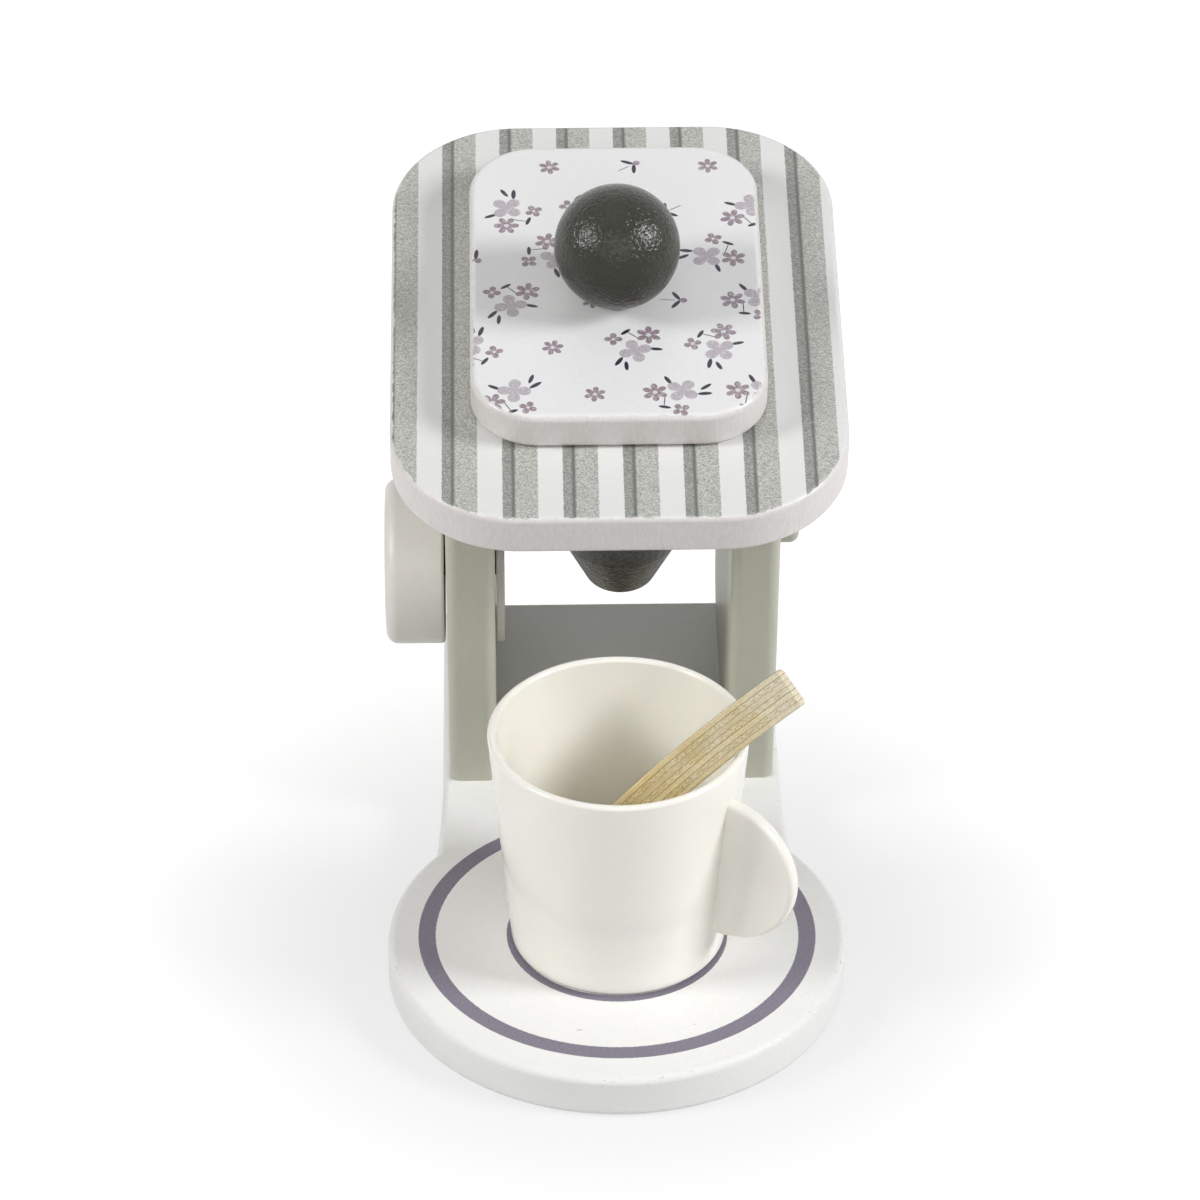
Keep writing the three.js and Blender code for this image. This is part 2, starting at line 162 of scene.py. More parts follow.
corners = [(-card_half, -card_half, 0), (card_half, -card_half, 0),
           (card_half, card_half, 0), (-card_half, card_half, 0)]
floor_mesh = bpy.data.meshes.new("white card")
floor_mesh.from_pydata(corners, [], [(0, 1, 2, 3)])
floor = bpy.data.objects.new("white card", floor_mesh)
floor.location = (0, 0, -card_drop)
scene.collection.objects.link(floor)
card = bpy.data.materials.new("white card")
card.use_nodes = True
tree = card.node_tree
tree.nodes.clear()
seen = seen_directly(tree)
shade_of_card = calc(tree, "MULTIPLY_ADD", seen, card_grey_seen - card_grey, card_grey)
dull = wire(tree, "BsdfDiffuse", {"Color": grey(tree, shade_of_card)})
spot = wire(tree, "SeparateXYZ", {0: spot_on(tree)})
from_toy = wire(tree, "CombineXYZ", {
    0: spot.outputs[0], 1: calc(tree, "SUBTRACT", spot.outputs[1], painted_shadow_middle),
})
# Painted shadow: the card's glow is weakest near the toy and grows outwards, a soft dark halo round
# it.
painted_shadow_fade = wire(tree, "MapRange", {
    "Value": how_far(tree, from_toy.outputs[0]), "From Min": painted_shadow_near, "From Max": painted_shadow_far,
    "To Min": glow_in_painted_shadow, "To Max": glow_far_off,
}, interpolation_type="SMOOTHSTEP")
glow = wire(tree, "Emission", {
    "Color": (1, 1, 1, 1), "Strength": times(tree, seen, painted_shadow_fade.outputs[0]),
})
both = wire(tree, "AddShader", {0: dull.outputs[0], 1: glow.outputs[0]})
wire(tree, "OutputMaterial", {"Surface": both.outputs[0]})
floor_mesh.materials.append(card)


# Base board: 12 mm board sawn to a keyhole outline, its edges rounded over and painted white,
# with two rings printed on the round plate. Four screws come up through it into the uprights.

mm = 0.001
base_thick = 12
plate_radius = 60
neck_half = 45.8
neck_root = (47.4, 36.79)
neck_flare = 38
flare_steps = 24
base_reach = 154.5
base_corner = 5
base_ease = 2
gap = 0.3
overrun = 1
screw_head = 3.8
screw_head_depth = 2.6
screw_sink = 0.8
screw_shank = 2
screw_length = 36
screw_point = 5
screw_places = [(side * 37.5, y) for side in (-1, 1) for y in (84.98, 122.74)]


def arc(cx, cy, radius, start, end, fine=math.radians(3)):
    """Points along an arc, from one angle to another."""
    count = max(4, math.ceil(abs(end - start) / fine))
    angles = [start + (end - start) * i / count for i in range(count + 1)]
    return [(cx + radius * math.cos(a), cy + radius * math.sin(a)) for a in angles]


def rounded_outline(corners):
    """A counterclockwise outline from corners (x, y, radius)."""
    points = []
    for i, (x, y, radius) in enumerate(corners):
        if radius == 0:
            points.append((x, y))
            continue
        corner = Vector((x, y))
        back = (Vector(corners[i - 1][:2]) - corner).normalized()
        ahead = (Vector(corners[(i + 1) % len(corners)][:2]) - corner).normalized()
        half = back.angle(ahead) / 2
        centre = corner + (back + ahead).normalized() * (radius / math.sin(half))
        start = math.atan2(back.x, -back.y)
        points += arc(centre.x, centre.y, radius, start, start + math.pi - 2 * half)
    return points


def shade(mesh, crease=35):
    """Soft shading that breaks only at real corners."""
    shape = bmesh.new()
    shape.from_mesh(mesh)
    bmesh.ops.recalc_face_normals(shape, faces=shape.faces)
    for face in shape.faces:
        face.smooth = True
    for edge in shape.edges:
        flat = len(edge.link_faces) == 2 and edge.calc_face_angle(0) < math.radians(crease)
        edge.smooth = flat
    shape.to_mesh(mesh)
    shape.free()


def made(name, points, faces, place=None):
    """An object from points in millimetres, put where place says."""
    mesh = bpy.data.meshes.new(name)
    mesh.from_pydata([Vector(p) * mm for p in points], [], faces)
    piece = bpy.data.objects.new(name, mesh)
    piece.matrix_world = place or Matrix.Identity(4)
    scene.collection.objects.link(piece)
    return piece


def eased_board(name, outline, thick, ease, place=None, rounds=7):
    """A board of that outline on the plane z = 0, with all its edges rounded over."""
    lean_in = []
    for i, point in enumerate(outline):
        here = Vector(point)
        before = (here - Vector(outline[i - 1])).normalized()
        after = (Vector(outline[(i + 1) % len(outline)]) - here).normalized()
        inward = Vector((-before.y - after.y, before.x + after.x))
        lean_in.append(inward / (1 + before.dot(after)))
    steps = [math.pi / 2 * k / rounds for k in range(rounds + 1)]
    levels = [(ease * (1 - math.sin(a)), ease * (1 - math.cos(a))) for a in steps]
    levels += [(inset, thick - z) for inset, z in reversed(levels)]
    count = len(outline)
    points = [(p[0] + v.x * inset, p[1] + v.y * inset, z)
              for inset, z in levels for p, v in zip(outline, lean_in)]
    faces = [tuple(reversed(range(count)))]
    faces += [(row * count + i, row * count + (i + 1) % count,
               (row + 1) * count + (i + 1) % count, (row + 1) * count + i)
              for row in range(len(levels) - 1) for i in range(count)]
    faces.append(tuple((len(levels) - 1) * count + i for i in range(count)))
    return made(name, points, faces, place)


def turned(name, profile, place=None, sides=128):
    """A piece turned about z, from (radius, height) points that start and end on the axis."""
    points, rows, faces = [], [], []
    for radius, height in profile:
        around = 1 if radius == 0 else sides
        rows.append((len(points), around))
        angles = [2 * math.pi * i / sides for i in range(around)]
        points += [(radius * math.cos(a), radius * math.sin(a), height) for a in angles]
    for (low, low_count), (high, high_count) in zip(rows, rows[1:]):
        for i in range(sides if max(low_count, high_count) > 1 else 0):
            ring = [low + i % low_count, low + (i + 1) % low_count,
                    high + (i + 1) % high_count, high + i % high_count]
            faces.append(tuple(dict.fromkeys(ring)))
    return made(name, points, faces, place)


def drill(piece, cutters, operation="DIFFERENCE"):
    """Takes the cutters out of the piece, or joins them to it."""
    for cutter in cutters:
        cut = piece.modifiers.new("hole", "BOOLEAN")
        cut.operation = operation
        cut.solver = "EXACT"
        cut.object = cutter
    bpy.context.view_layer.update()
    seen = piece.evaluated_get(bpy.context.evaluated_depsgraph_get())
    whole = bpy.data.meshes.new_from_object(seen)
    piece.modifiers.clear()
    piece.data = whole
    for cutter in cutters:
        bpy.data.objects.remove(cutter)


def moved(x, y, z):
    """A place that many millimetres away."""
    return Matrix.Translation(Vector((x, y, z)) * mm)


def finish_piece(piece, material, body, slot, *stands_for):
    """Shading, finish and the place in the toy for a piece."""
    shade(piece.data)
    piece.data.materials.clear()
    piece.data.materials.append(material)
    for face in piece.data.polygons:
        face.material_index = 0
    weigh = piece.modifiers.new("even shading", "WEIGHTED_NORMAL")
    weigh.keep_sharp = True
    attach(piece, body)
    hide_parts(*stands_for)


def screw_hole(x, y):
    """The countersunk screw's own form, a little wider, and open to the underside."""
    head, shank = screw_head + gap, screw_shank + gap
    end = screw_sink + screw_length + gap
    return turned("screw hole", [
        (0, -overrun), (head, -overrun), (head, screw_sink),
        (shank, screw_sink + screw_head_depth), (shank, end - screw_point), (0, end),
    ], moved(x, y, 0), sides=48)


def base_outline():
    """The round plate, the flared neck behind it and its rounded rear corners."""
    root_x, root_y = neck_root
    root = math.atan2(root_y, root_x)
    start, middle = Vector(neck_root), Vector((neck_half, root_y + neck_flare / 2))
    end = Vector((neck_half, root_y + neck_flare))
    flare = []
    for i in range(flare_steps):
        t = (i + 1) / flare_steps
        point = start * (1 - t) ** 2 + middle * 2 * t * (1 - t) + end * t ** 2
        flare.append((point.x, point.y))
    rear = rounded_outline([(-neck_half, 0, 0), (neck_half, 0, 0),
                            (neck_half, base_reach, base_corner),
                            (-neck_half, base_reach, base_corner)])[2:]
    plate = arc(0, 0, plate_radius, -math.pi - root, root, math.radians(2))
    return plate + flare + rear + [(-x, y) for x, y in reversed(flare)]


def new_group(name, inputs, outputs):
    """An empty node group with named sockets, and its two ends."""
    tree = bpy.data.node_groups.new(name, "ShaderNodeTree")
    for label, kind, value in inputs:
        socket = tree.interface.new_socket(label, in_out="INPUT", socket_type="NodeSocket" + kind)
        socket.default_value = value
    for label, kind in outputs:
        tree.interface.new_socket(label, in_out="OUTPUT", socket_type="NodeSocket" + kind)
    return tree, tree.nodes.new("NodeGroupInput"), tree.nodes.new("NodeGroupOutput")


def use_group(tree, group, inputs=None):
    """A node that holds the group, with this material's own values."""
    return wire(tree, "Group", inputs, node_tree=group)


def blend(tree, amount, first, second, mode="MIX"):
    """A mix of two colours."""
    node = wire(tree, "Mix", {0: amount}, data_type="RGBA", blend_type=mode)
    for socket, value in ((6, first), (7, second)):
        if isinstance(value, bpy.types.NodeSocket):
            tree.links.new(value, node.inputs[socket])
        else:
            node.inputs[socket].default_value = (*value, 1)
    return node.outputs[2]


def step(tree, value, edge, soft):
    """0 below the edge and 1 above it, with a soft change between."""
    return wire(tree, "MapRange", {
        "Value": value, "From Min": edge - soft, "From Max": edge + soft,
    }, interpolation_type="SMOOTHSTEP").outputs[0]


def until(tree, value, edge, soft):
    """1 below the edge and 0 above it."""
    return calc(tree, "SUBTRACT", 1.0, step(tree, value, edge, soft))


def noise(tree, where, scale, detail=2.0, rough=0.5, distortion=0.0):
    """Cloudy noise over the surface."""
    return wire(tree, "TexNoise", {"Vector": where, "Scale": scale, "Detail": detail,
                                   "Roughness": rough, "Distortion": distortion}).outputs["Fac"]


def stretched(tree, where, scale, turn=(0, 0, 0)):
    """The same spot with each axis stretched by its own scale, for noise that runs one way."""
    return wire(tree, "Mapping", {"Vector": where, "Rotation": turn, "Scale": scale}).outputs[0]


def painted_board():
    """Paint on board: faint clouding, a fine pebbled skin, a few dents and rub marks."""
    tree, ins, outs = new_group("paint on board", [
        ("Paint", "Color", (0.8, 0.8, 0.8, 1)), ("Shadow", "Color", (0.7, 0.7, 0.7, 1)),
        ("Clouding", "Float", 0.3), ("Pebble Size", "Float", 1200.0),
        ("Pebble Depth", "Float", 0.25), ("Dents", "Float", 0.3), ("Scuffs", "Float", 0.2),
        ("Gloss", "Float", 0.4),
    ], [("Color", "Color"), ("Roughness", "Float"), ("Normal", "Vector")])
    where = spot_on(tree)
    cloud = noise(tree, where, scale=45.0, detail=3.0)
    pebble = noise(tree, where, scale=ins.outputs["Pebble Size"], rough=0.55)
    wave = noise(tree, where, scale=260.0)
    spots = wire(tree, "TexVoronoi", {"Vector": where, "Scale": 60.0, "Randomness": 1.0})
    dent = until(tree, spots.outputs["Distance"], 0.07, 0.05)
    dent = times(tree, dent, ins.outputs["Dents"])
    cloudy = times(tree, cloud, ins.outputs["Clouding"])
    colour = blend(tree, cloudy, ins.outputs["Paint"], ins.outputs["Shadow"])
    speck = times(tree, calc(tree, "SUBTRACT", pebble, 0.5), 0.1)
    colour = blend(tree, 1.0, colour, grey(tree, calc(tree, "ADD", 1.0, speck)), "MULTIPLY")
    smear = stretched(tree, where, (90.0, 420.0, 260.0), turn=(0.3, 0.2, 0.7))
    scuff = noise(tree, smear, scale=1.0, detail=4.0, rough=0.7)
    scuff = times(tree, step(tree, scuff, 0.735, 0.02), ins.outputs["Scuffs"])
    colour = blend(tree, scuff, colour, (0.36, 0.34, 0.31))
    rough = calc(tree, "ADD", ins.outputs["Gloss"], times(tree, wave, 0.12))
    height = calc(tree, "ADD", times(tree, wave, 0.8), times(tree, pebble, 0.5))
    height = calc(tree, "SUBTRACT", height, times(tree, dent, 3.0))
    bump = wire(tree, "Bump", {"Strength": ins.outputs["Pebble Depth"], "Distance": 0.0002,
                               "Height": height})
    for label, socket in (("Color", colour), ("Roughness", rough), ("Normal", bump.outputs[0])):
        tree.links.new(socket, outs.inputs[label])
    return tree


paint_group = painted_board()


def new_finish(name, colour, rough, normal, **fixed):
    """A material with one surface shader, fed by what changes over the surface."""
    material = bpy.data.materials[name]
    surface = wire(material.node_tree, "BsdfPrincipled", {
        "Base Color": colour, "Roughness": rough, "Normal": normal,
        **{label.replace("_", " "): value for label, value in fixed.items()},
    })
    wire(material.node_tree, "OutputMaterial", {"Surface": surface.outputs[0]})
    return material


def blank(name):
    """A material with an empty node tree."""
    material = bpy.data.materials.new(name)
    material.use_nodes = True
    material.node_tree.nodes.clear()
    return material.node_tree


base_white = (0.883, 0.88, 0.868)
ring_ink = (0.2, 0.185, 0.24)
ring_bands = ((47.5, 52.0), (26.5, 28.9))
ring_middle = 1
ring_blur = 0.12
ring_lift = 0.2
worn_from = 2.2
worn_to = 0.08

tree = blank("white base paint")
coat = use_group(tree, paint_group, {"Paint": (*base_white, 1), "Shadow": (0.82, 0.817, 0.804, 1),
                                     "Clouding": 0.35, "Pebble Depth": 0.3, "Gloss": 0.34,
                                     "Dents": 0.8, "Scuffs": 0.8})
where = spot_on(tree)
spot = wire(tree, "SeparateXYZ", {0: where})
across = wire(tree, "CombineXYZ", {
    0: spot.outputs[0], 1: calc(tree, "SUBTRACT", spot.outputs[1], ring_middle * mm),
})
ragged = noise(tree, where, scale=1500.0)
reach = calc(tree, "MULTIPLY_ADD", calc(tree, "SUBTRACT", ragged, 0.5), 0.0003,
             how_far(tree, across.outputs[0]))
rings = 0.0
for inner, outer in ring_bands:
    band = times(tree, step(tree, reach, inner * mm, ring_blur * mm),
                 until(tree, reach, outer * mm, ring_blur * mm))
    rings = calc(tree, "ADD", rings, band)
on_top = step(tree, spot.outputs[2], (base_thick - ring_lift) * mm, 0.0001)
rings = times(tree, rings, on_top)
thin_ink = calc(tree, "MULTIPLY_ADD", ragged, 0.2, 0.86)
rings = times(tree, rings, thin_ink, clamp=True)
colour = blend(tree, rings, coat.outputs["Color"], ring_ink)
edge_band = times(tree, step(tree, spot.outputs[2], (base_thick - worn_from) * mm, 0.0005),
                  until(tree, spot.outputs[2], (base_thick - worn_to) * mm, 0.00006))
knocks = noise(tree, stretched(tree, where, (700.0, 900.0, 3000.0)), scale=1.0, detail=3.0)
patchy = noise(tree, where, scale=55.0)
knocks = times(tree, step(tree, knocks, 0.66, 0.03), step(tree, patchy, 0.52, 0.05))
knocks = times(tree, knocks, edge_band)
colour = blend(tree, times(tree, knocks, 0.6), colour, (0.42, 0.4, 0.37))
base_paint = new_finish("white base paint", colour, coat.outputs["Roughness"],
                        coat.outputs["Normal"], Specular_IOR_Level=0.2)

base = eased_board("base_panel", base_outline(), base_thick, base_ease)
drill(base, [screw_hole(x, y) for x, y in screw_places])
finish_piece(base, base_paint, "machine", "base_paint", "base_board")


# Uprights: two boards that lean forward, rounded over along their long edges, painted sage green.
# They stand on the base's neck on screws and carry the head board on dowels.

lean = math.radians(10.1)
upright_front = 68.9
upright_thick = 12.8
upright_middle = 37.5
upright_outer = 43.9
upright_inner = 31.1
upright_depth = 90
upright_height = 144
upright_heel = 18
upright_ease = 3
trim_wide = 20
trim_long = 220
trim_middle = 114
dowel_radius = 4
dowel_in_upright = 16
dowel_places = (19.8, 70.2)
axis_place = 45
dial_rise = 40
button_rise = 58
button_dowel = 3
button_dowel_in = 8
leaning = moved(0, upright_front, base_thick) @ Matrix.Rotation(lean, 4, "X")


def box_cutter(x, y, z, place=None):
    """A block of that size about its own middle."""
    ends = (-0.5, 0.5)
    corners = [(x * i, y * j, z * k) for i in ends for j in ends for k in ends]
    sides = [(0, 1, 3, 2), (4, 6, 7, 5), (0, 4, 5, 1), (2, 3, 7, 6), (0, 2, 6, 4), (1, 5, 7, 3)]
    return made("block", corners, sides, place)


def bore(radius, low, high, place):
    """A round cutter from one height to another."""
    return turned("bore", [(0, low), (radius, low), (radius, high), (0, high)], place, sides=64)


def upright(name, side):
    """One leaning board, cut flat where it meets the base and the head, with its bores."""
    sunk = base_thick - upright_ease
    slip = upright_ease * math.tan(lean)
    rise = upright_height + upright_ease
    rear = upright_front + upright_depth / math.cos(lean)
    top_y = upright_front - rise * math.sin(lean)
    top_z = base_thick + rise * math.cos(lean)
    outline = rounded_outline([
        (upright_front + slip, sunk, 0), (rear + slip, sunk, upright_heel),
        (top_y + upright_depth * math.cos(lean), top_z + upright_depth * math.sin(lean), 0),
        (top_y, top_z, 0),
    ])
    on_edge = Matrix(((0, 0, 1, 0), (1, 0, 0, 0), (0, 1, 0, 0), (0, 0, 0, 1)))
    place = moved(side * upright_middle - upright_thick / 2, 0, 0) @ on_edge
    board = eased_board(name, outline, upright_thick, upright_ease, place)
    x = side * upright_middle
    trim = (trim_wide, trim_long, 2 * upright_ease)
    cutters = [
        box_cutter(*trim, moved(x, trim_middle, sunk)),
        box_cutter(*trim, leaning @ moved(x, axis_place, rise)),
    ]
    cutters += [bore(dowel_radius + gap, upright_height - dowel_in_upright - gap,
                     upright_height + overrun, leaning @ moved(x, y, 0)) for y in dowel_places]
    cutters += [screw_hole(*at) for at in screw_places if at[0] == x]
    sideways = Matrix.Rotation(math.radians(90) * side, 4, "Y")
    if side < 0:
        cutters.append(bore(dowel_radius + gap, upright_inner - overrun, upright_outer + overrun,
                            leaning @ moved(0, axis_place, dial_rise) @ sideways))
    else:
        cutters.append(bore(button_dowel + gap, upright_outer - button_dowel_in - gap,
                            upright_outer + overrun,
                            leaning @ moved(0, axis_place, button_rise) @ sideways))
    drill(board, cutters)
    return board


sage = (0.52, 0.525, 0.437)
tree = blank("sage paint")
coat = use_group(tree, paint_group, {"Paint": (*sage, 1), "Shadow": (0.47, 0.475, 0.392, 1),
                                     "Clouding": 0.5, "Pebble Depth": 0.2, "Gloss": 0.36,
                                     "Dents": 0.2})
drawn = stretched(tree, spot_on(tree), (900.0, 40.0, 900.0))
grain = noise(tree, drawn, scale=1.0, detail=3.0)
tone = grey(tree, calc(tree, "MULTIPLY_ADD", grain, 0.08, 0.96))
colour = blend(tree, 1.0, coat.outputs["Color"], tone, "MULTIPLY")
ridge = wire(tree, "Bump", {"Strength": 0.12, "Distance": 0.0002, "Height": grain,
                            "Normal": coat.outputs["Normal"]})
sage_paint = new_finish("sage paint", colour, coat.outputs["Roughness"], ridge.outputs[0],
                        Specular_IOR_Level=0.35)
for side, name in ((-1, "left"), (1, "right")):
    finish_piece(upright(f"{name}_board", side), sage_paint, "machine", "upright_paint",
                 f"{name}_upright")


# Head board: an 11.5 mm board with large round corners, square to the uprights. Its top carries
# a printed stripe pattern and its edges are painted white. A pocket holds the lid's plug.

head_shift = 0.7
head_width = 114.6
head_length = 150.5
head_middle = upright_depth - head_length / 2
head_thick = 11.5
head_corner = 32.5
head_ease = 1.5
head_bottom = upright_height + gap
head_top = head_bottom + head_thick
wood_past_dowel = 3.6
plug_hole = 20.5
plug_height = 6.5
lid_set_back = 2.3
lid_middle = head_middle + lid_set_back
cone_set_back = 18.5
cone_place = upright_depth - head_length + cone_set_back
stripe_repeat = 14.97
first_stripe = -43.7
repeats_to_spare = 100
line_start = 2.35
line_end = 3.2
ink_end = 8.85


def rounded_board(width, length, corner):
    """The outline of a board with four round corners."""
    x, y = width / 2, length / 2
    return rounded_outline([(-x, -y, corner), (x, -y, corner), (x, y, corner), (-x, y, corner)])


def edge_paint_and_painted_highlight():
    """A print ending in a thin broken light line at the edge paint: part worn print, part painted
    highlight.
    """
    tree, ins, outs = new_group("board edge paint and painted highlight", [
        ("Print", "Color", (1, 1, 1, 1)), ("Face Height", "Float", 0.01),
    ], [("Color", "Color")])
    where = spot_on(tree)
    spot = wire(tree, "SeparateXYZ", {0: where})
    rag = noise(tree, where, scale=500.0)
    rag = times(tree, calc(tree, "SUBTRACT", rag, 0.5), 0.0005)
    above = calc(tree, "ADD", spot.outputs[2], rag)
    above = calc(tree, "SUBTRACT", above, ins.outputs["Face Height"])
    face = wire(tree, "MapRange", {"Value": above, "From Min": -0.0005, "From Max": -0.00006},
                interpolation_type="SMOOTHSTEP").outputs[0]
    # The edges get a flecked pinkish grey, darker than the white ground of the print on top.
    fleck = noise(tree, stretched(tree, where, (1500.0, 1500.0, 350.0)), scale=1.0)
    edge = blend(tree, fleck, (0.63, 0.602, 0.588), (0.79, 0.757, 0.74))
    colour = blend(tree, face, edge, ins.outputs["Print"])
    # Painted highlight, partly worn print: a thin broken light line on the rounding where the print
    # ends.
    rim = times(tree, times(tree, face, calc(tree, "SUBTRACT", 1.0, face)), 4.0)
    worn_sheen_breaks = noise(tree, where, scale=300.0, detail=3.0)
    rim = times(tree, rim, step(tree, worn_sheen_breaks, 0.48, 0.08))
    colour = blend(tree, times(tree, rim, 0.7), colour, (0.85, 0.845, 0.83))
    tree.links.new(colour, outs.inputs["Color"])
    return tree


edge_group = edge_paint_and_painted_highlight()

tree = blank("stripe print")
where = spot_on(tree)
spot = wire(tree, "SeparateXYZ", {0: where})
drift = noise(tree, where, scale=700.0)
drift = times(tree, calc(tree, "SUBTRACT", drift, 0.5), 0.0004)
along = calc(tree, "ADD", spot.outputs[0], drift)
along = calc(tree, "SUBTRACT", along, (first_stripe - head_shift) * mm)
along = calc(tree, "ADD", along, repeats_to_spare * stripe_repeat * mm)  # never below zero
phase = calc(tree, "FRACT", calc(tree, "DIVIDE", along, stripe_repeat * mm))
phase = times(tree, phase, stripe_repeat)
threads = noise(tree, stretched(tree, where, (2300.0, 4200.0, 2300.0)), scale=1.0, rough=0.8)
heather = wire(tree, "MapRange", {"Value": threads, "From Min": 0.36, "From Max": 0.64})
heather = heather.outputs[0]
light_band = blend(tree, heather, (0.22, 0.23, 0.2), (0.7, 0.703, 0.665))
dark_band = blend(tree, heather, (0.13, 0.138, 0.12), (0.47, 0.48, 0.45))
colour = blend(tree, step(tree, phase, line_start, 0.4), dark_band, (0.15, 0.156, 0.14))
colour = blend(tree, step(tree, phase, line_end, 0.35), colour, light_band)
inked = times(tree, until(tree, phase, ink_end, 0.12), step(tree, phase, 0.1, 0.1))
colour = blend(tree, inked, (0.785, 0.785, 0.77), colour)
edged = use_group(tree, edge_group, {"Print": colour, "Face Height": head_thick * mm})
coat = use_group(tree, paint_group, {"Paint": edged.outputs[0], "Shadow": edged.outputs[0],
                                     "Pebble Depth": 0.35, "Gloss": 0.38, "Dents": 0.15})
head_print = new_finish("stripe print", *coat.outputs, Coat_Weight=0.12, Coat_Roughness=0.25)

head = eased_board("head_panel", rounded_board(head_width, head_length, head_corner), head_thick,
                   head_ease, leaning @ moved(head_shift, head_middle, head_bottom))


def head_bore(x, y):
    """A blind hole from below for a dowel."""
    return bore(dowel_radius + gap, head_bottom - overrun, head_top - wood_past_dowel + gap,
                leaning @ moved(x, y, 0))


head_holes = [
    head_bore(head_shift, cone_place),
    bore(plug_hole, head_top - plug_height - gap, head_top + overrun,
         leaning @ moved(head_shift, lid_middle, 0)),
]
head_holes += [head_bore(side * upright_middle, y) for side in (-1, 1) for y in dowel_places]
drill(head, head_holes)
finish_piece(head, head_print, "machine", "head_print", "head_board")


# Lid: a rounded board that rests on the head, printed with small flowers on top and painted white
# along its edges. A beech plug glued under it drops into the head's pocket.

lid_width = 74.3
lid_length = 104.4
lid_thick = 10.2
lid_corner = 17
lid_ease = 1.8
lid_bottom = head_top + gap
lid_top = lid_bottom + lid_thick
knob_set_forward = 7.1
knob_place = lid_middle - knob_set_forward
knob_dowel = 3
flower_pitch = 20.5
motif_size = 1.2
row_pitch_share = 0.85


